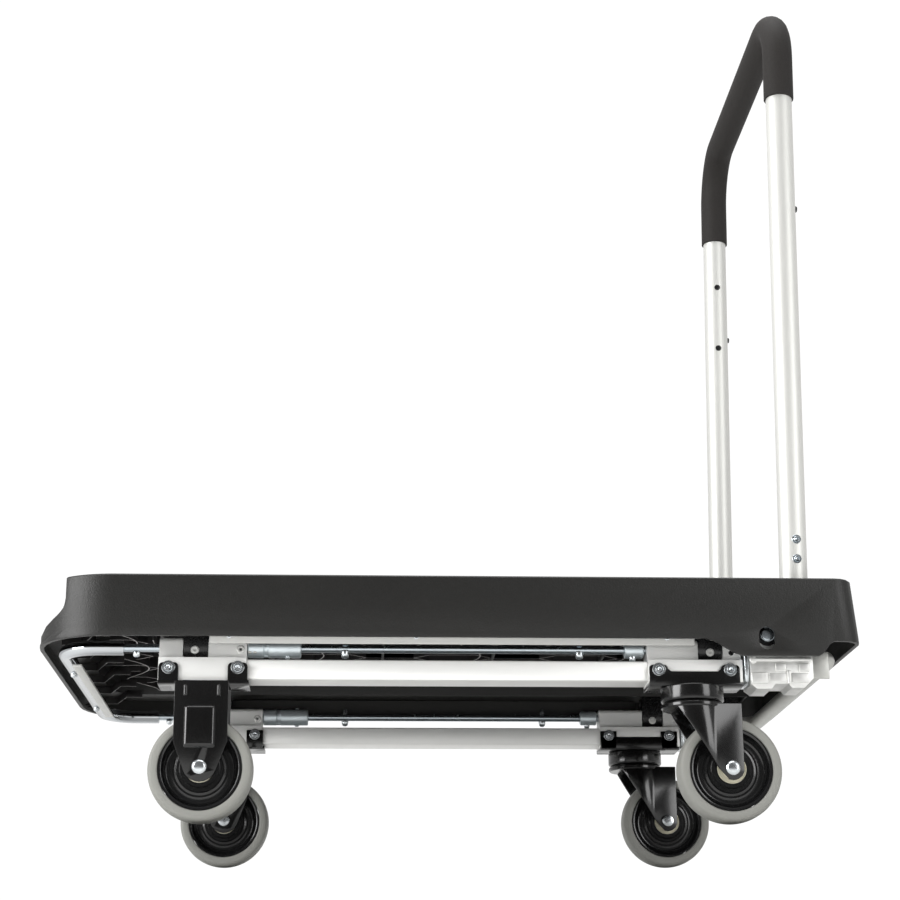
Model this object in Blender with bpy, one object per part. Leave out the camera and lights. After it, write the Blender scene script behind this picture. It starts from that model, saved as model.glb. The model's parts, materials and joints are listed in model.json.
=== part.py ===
"""Folding platform cart: a moulded deck, two wheel beams that fold inwards, and a folding U handle.

Frame: origin on the floor under the middle of the cart, +X towards the handle end, +Z up.
All sizes below are millimetres; every mesh is scaled to metres as it is made.
"""
from math import asin, cos, degrees, pi, radians, sin

import bmesh
import bpy
from mathutils import Vector

MM = 0.001
SIDES = {"near": -1, "far": 1}

# Deck
DECK_HALF_LENGTH = 400.0
DECK_HALF_WIDTH = 235.0
DECK_TOP = 234.0
DECK_PLATE = 3.5
DECK_WALL = 4.0
DECK_EDGE = 1.5
SKIRT_BOTTOM = 173.7
REAR_SKIRT_BOTTOM = 171.5
SKIRT_LOBE_BOTTOM = 157.0
LOBE_RISES = ((246.0, 284.0), (356.0, 372.0))
FRONT_PROFILE = (
    (176.0, -400.0), (183.0, -396.5), (190.0, -390.0), (195.0, -382.0), (197.5, -377.9),
    (200.0, -374.8), (203.5, -371.6), (207.0, -370.3), (213.0, -369.3),
)
REAR_TOP_X = 394.5
FRONT_CORNER = 78.0
REAR_CORNER = 20.0
RIB_BOTTOM = 208.0
RIB_THICKNESS = 2.5
CROSS_RIBS_X = (-290.0, -180.0, -60.0, 60.0, 180.0, 300.0)
LONG_RIBS_Y = (-90.0, 0.0, 90.0)
LONG_RIBS_X = (-367.5, 393.5)
SLOT_X = 306.0
SLOT_Z = (163.0, 185.5)
SLOT_WIDTH = 15.5

# Handle
HANDLE_Y = 198.0
HANDLE_X_AT_DECK = 343.0
HANDLE_LEAN = 0.0252
HANDLE_TUBE = 14.0
HANDLE_TUBE_BORE = 12.4
HANDLE_BEND = 58.0
HANDLE_BAR_Z = 875.0
HANDLE_BASE_Z = 239.0
GRIP_END_Z = 768.0
GRIP_RADIUS = 16.0
PIVOT_X = 309.0
PIVOT_Z = 180.0
PIVOT_EYE = 10.5
PIVOT_PIN = 4.5
FOOT_Y = (188.0, 208.0)
FOOT_ARM_X = (330.0, 357.0)

# Groove in the deck that takes the folded handle
GROOVE_RADIUS = 17.4
GROOVE_Z = 212.6
FOLDED_BAR_X = -387.0
TROUGH_BOTTOM = 192.8
TROUGH_WALL = 2.5
WELL_X = (292.0, 364.0)

# Folding beams
FOLD_Y = 195.0
FOLD_Z = 169.5
ROD = 4.0
BORE_GAP = 0.35
RAIL_Y = (177.7, 212.1)
RAIL_Z = (136.0, 155.4)
RAIL_WALL = 2.0
RAIL_X = (-194.7, 192.7)
BLOCK_Y = (176.4, 213.6)
BLOCK_Z = (134.5, 157.0)
FRONT_BLOCK_X = (-279.0, -195.0)
REAR_BLOCK_X = (193.0, 285.0)
KNUCKLE_HALF_WIDTH = 12.0
KNUCKLE_TOP = 178.0
FRONT_BRACKET_X = (-256.0, -232.5)
REAR_BRACKET_X = (243.5, 267.0)
BRACKET_RADIUS = 12.0
FRAME_UNDERSIDE = 192.5

# Wheels and casters
WHEEL_RADIUS = 50.0
WHEEL_Y = 204.6
WHEEL_STEPS = 36
TREAD = 32.0
RIGID_X = -236.0
SWIVEL_X = 236.0
AXLE_X = 268.5
FORK_INSIDE = 19.0
FORK_OUTSIDE = 21.5
RIGID_TIP = 16.0
SWIVEL_TIP = 11.5
AXLE = 4.0
KING_PIN = 6.0
SADDLE_Z = (130.8, 134.2)
TAB_Y = (213.9, 216.4)
TAB_TOP = 151.5
FLANGE_TOP = 145.0
RING_RADIUS = 30.5
SWIVEL_CROWN = (109.0, 114.5)

# Frame tubes under the deck
FRONT_TUBE = 7.5
REAR_TUBE = 8.5
TUBE_WALL = 1.2
FRONT_TUBE_X = (-374.0, -314.0)
REAR_TUBE_X = (376.0, 353.5)
REAR_TUBE_Z = 163.0
FRONT_BEND = 36.0
REAR_BEND = 22.0
FLAT_BAR_X = (-369.5, -360.3)
FLAT_BAR_Z = (160.5, 163.2)
FLAT_BAR_REACH = 146.0

# Fixed pieces at the beams and the handle's hinges
SIDE_RAIL_X = (-231.0, 239.0)
SIDE_RAIL_Z = (170.5, 192.5)
COLLAR_X = (172.0, 191.0)
COLLAR_RADIUS = 8.0
END_PLATE_X = (286.6, 290.6)
CASTING_Y = (180.0, 220.0)
LUG_Y = (210.0, 219.5)

# Lock sleeve on the hinge rod
SLEEVE_X = (-194.5, -143.0)

PAINTS = {
    "deck_plastic": ((0.028, 0.027, 0.027), 0.55, 0.0),
    "aluminium": ((0.80, 0.80, 0.79), 0.35, 1.0),
    "cast_aluminium": ((0.66, 0.66, 0.66), 0.50, 1.0),
    "zinc": ((0.62, 0.66, 0.70), 0.32, 1.0),
    "chrome": ((0.75, 0.76, 0.78), 0.12, 1.0),
    "black_paint": ((0.012, 0.012, 0.013), 0.22, 0.0),
    "black_plastic": ((0.020, 0.020, 0.021), 0.42, 0.0),
    "grip_foam": ((0.030, 0.029, 0.029), 0.70, 0.0),
    "tyre_rubber": ((0.36, 0.36, 0.34), 0.60, 0.0),
    "bearing_shield": ((0.70, 0.66, 0.55), 0.40, 0.2),
}


# ---------------------------------------------------------------- scene helpers
def clear_scene():
    """Start from an empty file."""
    for obj in list(bpy.data.objects):
        bpy.data.objects.remove(obj, do_unlink=True)


def make_paints():
    """One Principled material for each finish."""
    made = {}
    for name, (colour, roughness, metallic) in PAINTS.items():
        paint = bpy.data.materials.new(name)
        paint.use_nodes = True
        shader = paint.node_tree.nodes["Principled BSDF"]
        shader.inputs["Base Color"].default_value = (*colour, 1.0)
        shader.inputs["Roughness"].default_value = roughness
        shader.inputs["Metallic"].default_value = metallic
        made[name] = paint
    return made


def make_joint_empty(name, point):
    """An empty on a moving body's joint axis, which carries the body's pieces."""
    empty = bpy.data.objects.new(name, None)
    empty.location = Vector(point) * MM
    bpy.context.scene.collection.objects.link(empty)
    return empty


def publish(name, bm, paint, parent=None):
    """Turn a mesh in cart millimetres into an object in metres, seated on its parent empty."""
    bmesh.ops.recalc_face_normals(bm, faces=bm.faces)
    shift = parent.location / MM if parent else Vector((0, 0, 0))
    for vert in bm.verts:
        vert.co = (vert.co - shift) * MM
    mesh = bpy.data.meshes.new(name)
    bm.to_mesh(mesh)
    bm.free()
    mesh.shade_smooth()
    mesh.set_sharp_from_angle(angle=radians(32))
    obj = bpy.data.objects.new(name, mesh)
    if paint:
        mesh.materials.append(paint)
    obj.parent = parent
    bpy.context.scene.collection.objects.link(obj)
    return obj


def combine(target, bm, operation):
    """Add a union or a cut to a piece; the guide mesh stays hidden beside it."""
    label = f"{target.name}.guide{len(target.modifiers) + 1}"
    guide = publish(label, bm, None, target.parent)
    guide.hide_render = True
    guide.display_type = "WIRE"
    modifier = target.modifiers.new(label, "BOOLEAN")
    modifier.operation = operation
    modifier.solver = "EXACT"
    modifier.object = guide


# ---------------------------------------------------------------- shape helpers
def arc(cx, cy, radius, start, end, steps):
    """Points on an arc, angles in degrees."""
    turn = [radians(start + (end - start) * i / steps) for i in range(steps + 1)]
    return [(cx + radius * cos(a), cy + radius * sin(a)) for a in turn]


def rounded(x0, x1, y0, y1, radius, steps=3):
    """A rectangle with round corners."""
    return (
        arc(x1 - radius, y1 - radius, radius, 0, 90, steps)
        + arc(x0 + radius, y1 - radius, radius, 90, 180, steps)
        + arc(x0 + radius, y0 + radius, radius, 180, 270, steps)
        + arc(x1 - radius, y0 + radius, radius, 270, 360, steps)
    )


def loft(bm, rings, closed_ends=True):
    """Join rings of equal length with quads, and cap the two ends."""
    made = [[bm.verts.new(p) for p in ring] for ring in rings]
    count = len(made[0])
    for low, high in zip(made, made[1:]):
        for i in range(count):
            j = (i + 1) % count
            bm.faces.new((low[i], low[j], high[j], high[i]))
    if closed_ends:
        bm.faces.new(made[0])
        bm.faces.new(made[-1])
    return made


def prism(outline, low, high, along, bm=None):
    """Extrude a flat outline along x, y or z."""
    place = {
        "x": lambda a, b, t: (t, a, b),
        "y": lambda a, b, t: (a, t, b),
        "z": lambda a, b, t: (a, b, t),
    }[along]
    bm = bm or bmesh.new()
    loft(bm, [[place(a, b, t) for a, b in outline] for t in (low, high)])
    return bm


def box(x, y, z, bm=None):
    """A block between three pairs of limits."""
    outline = [(x[0], y[0]), (x[1], y[0]), (x[1], y[1]), (x[0], y[1])]
    return prism(outline, z[0], z[1], "z", bm)


def turned(profile, centre, axis, steps=24, bm=None):
    """Revolve (radius, height) points about an axis; points at radius 0 close the ends."""
    bm = bm or bmesh.new()
    centre = Vector(centre)
    axis = Vector(axis).normalized()
    across = axis.orthogonal().normalized()
    third = axis.cross(across)
    rings = []
    for radius, height in profile:
        middle = centre + axis * height
        if radius == 0:
            rings.append([bm.verts.new(middle)] * steps)
            continue
        turn = [2 * pi * (i + 0.5) / steps for i in range(steps)]
        rings.append(
            [bm.verts.new(middle + (across * cos(a) + third * sin(a)) * radius) for a in turn]
        )
    solid = profile[0][0] == 0 and profile[-1][0] == 0
    following = rings[1:] if solid else rings[1:] + rings[:1]
    for low, high in zip(rings, following):
        for i in range(steps):
            j = (i + 1) % steps
            corners = dict.fromkeys((low[i], low[j], high[j], high[i]))
            bm.faces.new(tuple(corners))
    return bm


def swept(points, normal, radius, bore=0.0, sides=16):
    """Sweep a round section along a flat path; a bore leaves the tube open at both ends."""
    bm = bmesh.new()
    normal = Vector(normal).normalized()
    points = [Vector(p) for p in points]
    around = [2 * pi * (i + 0.5) / sides for i in range(sides)]

    def ring(i, r):
        before = points[max(i - 1, 0)]
        after = points[min(i + 1, len(points) - 1)]
        side = (after - before).normalized().cross(normal)
        return [points[i] + (normal * cos(a) + side * sin(a)) * r for a in around]

    outer = [ring(i, radius) for i in range(len(points))]
    if not bore:
        loft(bm, outer)
        return bm
    inner = [ring(i, bore) for i in reversed(range(len(points)))]
    made = loft(bm, outer + inner, closed_ends=False)
    for i in range(sides):
        j = (i + 1) % sides
        bm.faces.new((made[-1][i], made[-1][j], made[0][j], made[0][i]))
    return bm


def smooth_step(value, low, high):
    """Ease from 0 at low to 1 at high."""
    t = min(max((value - low) / (high - low), 0.0), 1.0)
    return t * t * (3 - 2 * t)


# ---------------------------------------------------------------- deck
def skirt_bottom(x):
    """Height of the skirt's lower edge: it hangs down in a lobe over each handle hinge."""
    down = smooth_step(x, *LOBE_RISES[0])
    up = smooth_step(x, *LOBE_RISES[1])
    lobe = SKIRT_BOTTOM + (SKIRT_LOBE_BOTTOM - SKIRT_BOTTOM) * down
    return lobe + (REAR_SKIRT_BOTTOM - SKIRT_LOBE_BOTTOM) * up


def front_face_x(z):
    """The front face at one height: it steps back in a cradle for the folded handle's grip."""
    if z <= FRONT_PROFILE[0][0]:
        return FRONT_PROFILE[0][1]
    for (z0, x0), (z1, x1) in zip(FRONT_PROFILE, FRONT_PROFILE[1:]):
        if z <= z1:
            return x0 + (x1 - x0) * (z - z0) / (z1 - z0)
    return FRONT_PROFILE[-1][1]


def deck_outline(z, inset):
    """The deck's outline at one height, drawn inside the true one by inset."""
    front = front_face_x(z) + inset
    rise = (z - SKIRT_BOTTOM) / (DECK_TOP - SKIRT_BOTTOM)
    rear = DECK_HALF_LENGTH + (REAR_TOP_X - DECK_HALF_LENGTH) * min(max(rise, 0.0), 1.0) - inset
    side = -DECK_HALF_WIDTH + inset
    big = FRONT_CORNER - inset
    small = REAR_CORNER - inset
    corner_x = FRONT_CORNER - DECK_HALF_LENGTH
    corner_reach = degrees(asin(min((corner_x - front) / big, 1.0)))
    stations = [-200.0, 0.0, 200.0]
    for low, high in LOBE_RISES:
        stations += [low + (high - low) * i / 4 for i in range(5)]
    half = arc(corner_x, side + big, big, 270 - corner_reach, 270, 8)
    half += [(x, side) for x in stations]
    half += arc(rear - small, side + small, small, 270, 360, 4)
    return half + [(x, -y) for x, y in reversed(half)]


def folded_line(rear_x, steps):
    """Centre line of the folded handle, as a flat U that lies in the deck."""
    bend_x = FOLDED_BAR_X + HANDLE_BEND
    bend_y = HANDLE_Y - HANDLE_BEND
    half = [(rear_x, -HANDLE_Y)] + arc(bend_x, -bend_y, HANDLE_BEND, 270, 180, steps)
    return half + [(x, -y) for x, y in reversed(half)]


def u_outline(reach, rear_x):
    """A U-shaped band that follows the folded handle, reach wide on each side of its centre line."""
    bend_x = FOLDED_BAR_X + HANDLE_BEND
    bend_y = HANDLE_Y - HANDLE_BEND
    half = [(rear_x, -HANDLE_Y - reach)]
    half += arc(bend_x, -bend_y, HANDLE_BEND + reach, 270, 180, 7)
    outer = half + [(x, -y) for x, y in reversed(half)]
    half = [(rear_x, -HANDLE_Y + reach)]
    half += arc(bend_x, -bend_y, HANDLE_BEND - reach, 270, 180, 7)
    inner = half + [(x, -y) for x, y in reversed(half)]
    return outer + list(reversed(inner))


def make_deck_shell():
    """The tray without its trough: the plate and the skirt round it."""
    bm = bmesh.new()
    heights = [z for z, x in FRONT_PROFILE]
    outside = [[(x, y, skirt_bottom(x)) for x, y in deck_outline(SKIRT_BOTTOM, 0)]]
    outside += [[(x, y, z) for x, y in deck_outline(z, 0)] for z in heights]
    shoulder = DECK_TOP - DECK_EDGE
    outside += [[(x, y, shoulder) for x, y in deck_outline(shoulder, 0)]]
    outside += [[(x, y, DECK_TOP) for x, y in deck_outline(DECK_TOP, DECK_EDGE)]]
    ceiling = DECK_TOP - DECK_PLATE
    inside = [[(x, y, ceiling) for x, y in deck_outline(ceiling, DECK_WALL)]]
    inside += [[(x, y, z) for x, y in deck_outline(z, DECK_WALL)] for z in reversed(heights)]
    inside += [[(x, y, skirt_bottom(x)) for x, y in deck_outline(SKIRT_BOTTOM, DECK_WALL)]]
    loft(bm, inside + outside)
    return bm


def add_trough(deck):
    """A trough under the folded handle, kept inside the deck's own outline."""
    reach = GROOVE_RADIUS + TROUGH_WALL
    mid_plate = DECK_TOP - DECK_PLATE / 2
    band = prism(u_outline(reach, WELL_X[1] + TROUGH_WALL), TROUGH_BOTTOM, mid_plate, "z")
    trough = publish("trough.guide", band, None)
    trough.hide_render = True
    trough.display_type = "WIRE"
    bm = bmesh.new()
    skin = DECK_WALL / 4
    heights = [TROUGH_BOTTOM - 5] + [z for z, x in FRONT_PROFILE if z > TROUGH_BOTTOM - 5] + [DECK_TOP + 5]
    loft(bm, [[(x, y, z) for x, y in deck_outline(z, skin)] for z in heights])
    combine(trough, bm, "INTERSECT")
    modifier = deck.modifiers.new("trough", "BOOLEAN")
    modifier.operation = "UNION"
    modifier.solver = "EXACT"
    modifier.object = trough


def make_deck(paint):
    """A thin tray with a deep skirt, a trough for the folded handle, and stiffening ribs."""
    deck = publish("deck", make_deck_shell(), paint)
    add_trough(deck)
    mid_plate = DECK_TOP - DECK_PLATE / 2
    half = RIB_THICKNESS / 2
    rib_reach = HANDLE_Y - GROOVE_RADIUS - TROUGH_WALL / 2
    bm = bmesh.new()
    for x in CROSS_RIBS_X:
        box((x - half, x + half), (-rib_reach, rib_reach), (RIB_BOTTOM, mid_plate), bm)
    combine(deck, bm, "UNION")
    bm = bmesh.new()
    for y in LONG_RIBS_Y:
        box(LONG_RIBS_X, (y - half, y + half), (RIB_BOTTOM + 0.5, mid_plate), bm)
    combine(deck, bm, "UNION")

    path = [(x, y, GROOVE_Z) for x, y in folded_line(WELL_X[0] + 1.0, 10)]
    combine(deck, swept(path, (0, 0, 1), GROOVE_RADIUS, 0.0, 20), "DIFFERENCE")
    groove = u_outline(GROOVE_RADIUS - 0.2, WELL_X[0] + 1.0)
    combine(deck, prism(groove, GROOVE_Z - 1.0, DECK_TOP + 6, "z"), "DIFFERENCE")
    bm = bmesh.new()
    for side in SIDES.values():
        edges = sorted(side * (HANDLE_Y + reach) for reach in (-GROOVE_RADIUS, GROOVE_RADIUS))
        box(WELL_X, edges, (TROUGH_BOTTOM - 9, DECK_TOP + 6), bm)
    combine(deck, bm, "DIFFERENCE")
    radius = SLOT_WIDTH / 2
    slot = arc(SLOT_X, SLOT_Z[1] - radius, radius, 0, 180, 8)
    slot += arc(SLOT_X, SLOT_Z[0] + radius, radius, 180, 360, 8)
    bm = bmesh.new()
    for side in SIDES.values():
        walls = sorted(side * (DECK_HALF_WIDTH + reach) for reach in (-DECK_WALL - 3, 3))
        prism(slot, walls[0], walls[1], "y", bm)
    combine(deck, bm, "DIFFERENCE")


# ---------------------------------------------------------------- fixed frame pieces
def u_tube_path(bar_x, leg_end_x, leg_y, z, bend):
    """Centre line of a level U tube: two legs, two bends and a cross run."""
    towards = 1 if leg_end_x > bar_x else -1
    turn = [radians(90 * i / 4) for i in range(5)]
    centre_x = bar_x + towards * bend
    near = [
        (centre_x - towards * bend * sin(a), -leg_y + bend * (1 - cos(a)), z) for a in turn
    ]
    path = [(leg_end_x, -leg_y, z)] + near
    return path + [(x, -y, z) for x, y, z in reversed(path)]


def make_frame_tubes(paints):
    """A U tube under each end, and a flat bar that stiffens the front one."""
    front = u_tube_path(*FRONT_TUBE_X, FOLD_Y, FOLD_Z, FRONT_BEND)
    tube = swept(front, (0, 0, 1), FRONT_TUBE, FRONT_TUBE - TUBE_WALL, 12)
    publish("front_frame_tube", tube, paints["chrome"])
    rear = u_tube_path(*REAR_TUBE_X, FOLD_Y + 1.0, REAR_TUBE_Z, REAR_BEND)
    tube = swept(rear, (0, 0, 1), REAR_TUBE, REAR_TUBE - TUBE_WALL, 12)
    publish("rear_frame_tube", tube, paints["zinc"])
    bar = box(FLAT_BAR_X, (-FLAT_BAR_REACH, FLAT_BAR_REACH), FLAT_BAR_Z)
    publish("front_flat_bar", bar, paints["aluminium"])


def make_side_rail(name, side, paints):
    """An angle under the trough: its upright leg shows as a bright strip below the skirt."""
    low, top = SIDE_RAIL_Z
    leg = top - 1.8
    outline = [(213.0, low), (215.0, low), (215.0, leg), (229.0, leg), (229.0, top), (213.0, top)]
    bm = prism([(side * y, z) for y, z in outline], *SIDE_RAIL_X, "x")
    publish(f"side_rail_{name}", bm, paints["aluminium"])


def bore_guide(side, radius, low, high):
    """A round cutter on a beam's fold axis."""
    profile = [(0, low), (radius, low), (radius, high), (0, high)]
    return turned(profile, (0, side * FOLD_Y, FOLD_Z), (1, 0, 0), 20)


def make_bracket(name, side, limits, paints):
    """A fixed lug round the fold axis, with a round lower end so that the beam can swing past."""
    outline = arc(FOLD_Y, FOLD_Z, BRACKET_RADIUS, 180, 360, 10)
    outline += [(FOLD_Y + BRACKET_RADIUS, FRAME_UNDERSIDE)]
    outline += [(FOLD_Y - BRACKET_RADIUS, FRAME_UNDERSIDE)]
    bm = prism([(side * y, z) for y, z in outline], limits[0], limits[1], "x")
    bracket = publish(name, bm, paints["black_plastic"])
    combine(bracket, bore_guide(side, ROD + BORE_GAP, limits[0] - 5, limits[1] + 5), "DIFFERENCE")


def make_rod(name, side, paints):
    """The hinge rod runs through every knuckle; a clamped collar keeps it from sliding."""
    low = FRONT_TUBE_X[1] - 6.0
    high = REAR_BLOCK_X[1] + 1.0
    profile = [(0, low), (ROD, low), (ROD, high), (0, high)]
    centre = (0, side * FOLD_Y, FOLD_Z)
    publish(f"hinge_rod_{name}", turned(profile, centre, (1, 0, 0), 16), paints["zinc"])
    inner = ROD + BORE_GAP
    low, high = COLLAR_X
    edge = COLLAR_RADIUS - 1.0
    profile = [(inner, low), (edge, low), (COLLAR_RADIUS, low + 1), (COLLAR_RADIUS, high - 1)]
    profile += [(edge, high), (inner, high)]
    publish(f"rod_collar_{name}", turned(profile, centre, (1, 0, 0), 20), paints["zinc"])


def make_end_plate(name, side, paints):
    """A thrust plate beyond the beam's rear end."""
    outline = rounded(177.0, 216.0, 133.0, 186.0, 9.0)
    bm = prism([(side * y, z) for y, z in outline], *END_PLATE_X, "x")
    publish(f"end_plate_{name}", bm, paints["zinc"])


def make_casting(name, side, paints):
    """The handle's hinge casting: a stepped body under the deck with a lug for the pivot pin."""
    outline = [(291.4, 160.5), (291.4, 132.0), (297.0, 127.5), (311.0, 127.5), (315.0, 132.5)]
    outline += [(328.0, 132.5), (331.0, 128.5), (343.0, 128.5), (352.5, 138.0), (352.5, 160.5)]
    y = sorted((side * CASTING_Y[0], side * CASTING_Y[1]))
    casting = publish(f"handle_casting_{name}", prism(outline, y[0], y[1], "y"), paints["cast_aluminium"])
    lug = [(PIVOT_X + 12, 158.0)] + arc(PIVOT_X, PIVOT_Z, PIVOT_EYE, 0, 180, 10) + [(PIVOT_X - 12, 158.0)]
    y = sorted((side * LUG_Y[0], side * LUG_Y[1]))
    combine(casting, prism(lug, y[0], y[1], "y"), "UNION")
    pin = [(0, 200.0), (PIVOT_PIN + BORE_GAP, 200.0), (PIVOT_PIN + BORE_GAP, 226.0), (0, 226.0)]
    combine(casting, turned(pin, (PIVOT_X, 0, PIVOT_Z), (0, side, 0), 20), "DIFFERENCE")


def make_pivot_pin(name, side, paints):
    """The bolt that the handle turns on; its head shows in the skirt's slot."""
    head = 7.0
    profile = [(0, 183.0), (PIVOT_PIN, 183.0), (PIVOT_PIN, 219.9), (head, 219.9), (head, 224.0)]
    profile += [(head - 1.2, 225.0), (0, 225.0)]
    bm = turned(profile, (PIVOT_X, 0, PIVOT_Z), (0, side, 0), 20)
    publish(f"pivot_pin_{name}", bm, paints["zinc"])


# ---------------------------------------------------------------- folding beams
def make_lower_rail(name, side, beam, paints):
    """A hollow rectangular extrusion."""
    outer = rounded(RAIL_Y[0], RAIL_Y[1], RAIL_Z[0], RAIL_Z[1], 1.5, 2)
    inner = rounded(
        RAIL_Y[0] + RAIL_WALL, RAIL_Y[1] - RAIL_WALL, RAIL_Z[0] + RAIL_WALL, RAIL_Z[1] - RAIL_WALL, 1.0, 2
    )
    bm = bmesh.new()
    rings = [
        [(x, side * y, z) for y, z in outline]
        for outline, x in ((outer, RAIL_X[0]), (outer, RAIL_X[1]), (inner, RAIL_X[1]), (inner, RAIL_X[0]))
    ]
    made = loft(bm, rings, closed_ends=False)
    count = len(outer)
    for i in range(count):
        j = (i + 1) % count
        bm.faces.new((made[-1][i], made[-1][j], made[0][j], made[0][i]))
    publish(f"lower_rail_{name}", bm, paints["aluminium"], beam)


def make_block(name, side, limits, bracket, beam, paints):
    """An end block of the beam, with two knuckles round the fixed bracket."""
    y = sorted((side * BLOCK_Y[0], side * BLOCK_Y[1]))
    block = publish(name, box(limits, y, BLOCK_Z), paints["aluminium"], beam)
    outline = [(FOLD_Y - KNUCKLE_HALF_WIDTH, BLOCK_Z[1] - 2), (FOLD_Y + KNUCKLE_HALF_WIDTH, BLOCK_Z[1] - 2)]
    outline += arc(FOLD_Y + KNUCKLE_HALF_WIDTH - 5, KNUCKLE_TOP - 5, 5, 0, 90, 4)
    outline += arc(FOLD_Y - KNUCKLE_HALF_WIDTH + 5, KNUCKLE_TOP - 5, 5, 90, 180, 4)
    bm = bmesh.new()
    for low, high in ((limits[0], bracket[0] - 0.5), (bracket[1] + 0.5, limits[1])):
        prism([(side * a, b) for a, b in outline], low, high, "x", bm)
    combine(block, bm, "UNION")
    combine(block, bore_guide(side, ROD + BORE_GAP, limits[0] - 5, limits[1] + 5), "DIFFERENCE")


def make_saddle(name, side, limits, tabs, flange_top, beam, paints):
    """A pressed plate under the beam whose outer edge turns up, with an ear round each bolt."""
    y = sorted((side * 178.0, side * TAB_Y[1]))
    saddle = publish(name, box(limits, y, SADDLE_Z), paints["black_paint"], beam)
    y = sorted((side * TAB_Y[0], side * TAB_Y[1]))
    low = SADDLE_Z[0] + 1
    bm = bmesh.new()
    if flange_top:
        left, right = tabs[0] - 9.5, tabs[1] + 9.5
        outline = [(left, low), (right, low)] + arc(right - 4, TAB_TOP - 4, 4, 0, 90, 3)
        outline += arc(tabs[1] - 5, TAB_TOP - 4, 4, 90, 180, 3)
        outline += [(tabs[1] - 12, flange_top), (tabs[0] + 12, flange_top)]
        outline += arc(tabs[0] + 5, TAB_TOP - 4, 4, 0, 90, 3) + arc(left + 4, TAB_TOP - 4, 4, 90, 180, 3)
        prism(outline, y[0], y[1], "y", bm)
    else:
        for centre in tabs:
            outline = [(centre - 9.5, low), (centre + 9.5, low)]
            outline += arc(centre + 5.5, TAB_TOP - 4, 4, 0, 90, 3)
            outline += arc(centre - 5.5, TAB_TOP - 4, 4, 90, 180, 3)
            prism(outline, y[0], y[1], "y", bm)
    combine(saddle, bm, "UNION")
    return saddle


def fork_slot(side, x, z):
    """The space for the wheel between a fork's two legs."""
    y = sorted((side * (WHEEL_Y - FORK_INSIDE), side * (WHEEL_Y + FORK_INSIDE)))
    return box(x, y, z)


def make_rigid_caster(name, side, beam, paints):
    """A straight fork: parallel legs that taper to a round tip at the axle."""
    saddle_x = (FRONT_BLOCK_X[0], -192.0)
    fork = make_saddle(f"rigid_fork_{name}", side, saddle_x, (-269.0, -203.0), None, beam, paints)
    leg = [(RIGID_X - 25.5, 132.0), (RIGID_X - 25.5, 74.5)]
    leg += arc(RIGID_X, WHEEL_RADIUS + 2.4, RIGID_TIP, 202, 338, 10)
    leg += [(RIGID_X + 25.5, 74.5), (RIGID_X + 25.5, 132.0)]
    y = sorted((side * (WHEEL_Y - FORK_OUTSIDE), side * (WHEEL_Y + FORK_OUTSIDE)))
    combine(fork, prism(leg, y[0], y[1], "y"), "UNION")
    combine(fork, fork_slot(side, (RIGID_X - 40, RIGID_X + 40), (20, SADDLE_Z[0])), "DIFFERENCE")
    combine(fork, axle_guide(side, RIGID_X), "DIFFERENCE")
    make_axle(f"rigid_axle_{name}", side, RIGID_X, beam, paints)


def axle_guide(side, x):
    """A cutter for the axle's holes through both legs of a fork."""
    radius = AXLE + BORE_GAP
    profile = [(0, -30), (radius, -30), (radius, 30), (0, 30)]
    return turned(profile, (x, side * WHEEL_Y, WHEEL_RADIUS), (0, 1, 0), 16)


def make_axle(name, side, x, parent, paints):
    """A bolt with a round head outside and a lock nut inside."""
    gap = FORK_OUTSIDE + 0.3
    profile = [(0, -gap - 5), (6.5, -gap - 5), (6.5, -gap), (AXLE, -gap), (AXLE, gap)]
    profile += [(7.2, gap), (7.2, gap + 2.2), (5.0, gap + 4.2), (0, gap + 4.8)]
    bm = turned(profile, (x, side * WHEEL_Y, WHEEL_RADIUS), (0, side, 0), 16)
    publish(name, bm, paints["zinc"], parent)


def make_swivel_mount(name, side, beam, paints):
    """The swivel caster's fixed half: saddle plate, ball-race housing and king pin."""
    make_saddle(f"swivel_saddle_{name}", side, (193.2, 284.5), (202.7, 272.3), FLANGE_TOP, beam, paints)
    centre = (SWIVEL_X, side * WHEEL_Y, 0)
    top = SADDLE_Z[0] - 0.3
    bottom = SWIVEL_CROWN[1] + 0.5
    inner = KING_PIN + BORE_GAP
    profile = [(inner, bottom), (RING_RADIUS - 2, bottom), (RING_RADIUS, bottom + 2)]
    profile += [(RING_RADIUS, top - 1), (RING_RADIUS - 1, top), (inner, top)]
    publish(f"swivel_ring_{name}", turned(profile, centre, (0, 0, 1), 24), paints["black_paint"], beam)
    low = SWIVEL_CROWN[0] - 4
    profile = [(0, low), (KING_PIN + 3, low), (KING_PIN + 3, SWIVEL_CROWN[0] - 0.4)]
    profile += [(KING_PIN, SWIVEL_CROWN[0] - 0.4), (KING_PIN, top), (0, top)]
    publish(f"king_pin_{name}", turned(profile, centre, (0, 0, 1), 20), paints["zinc"], beam)


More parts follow.
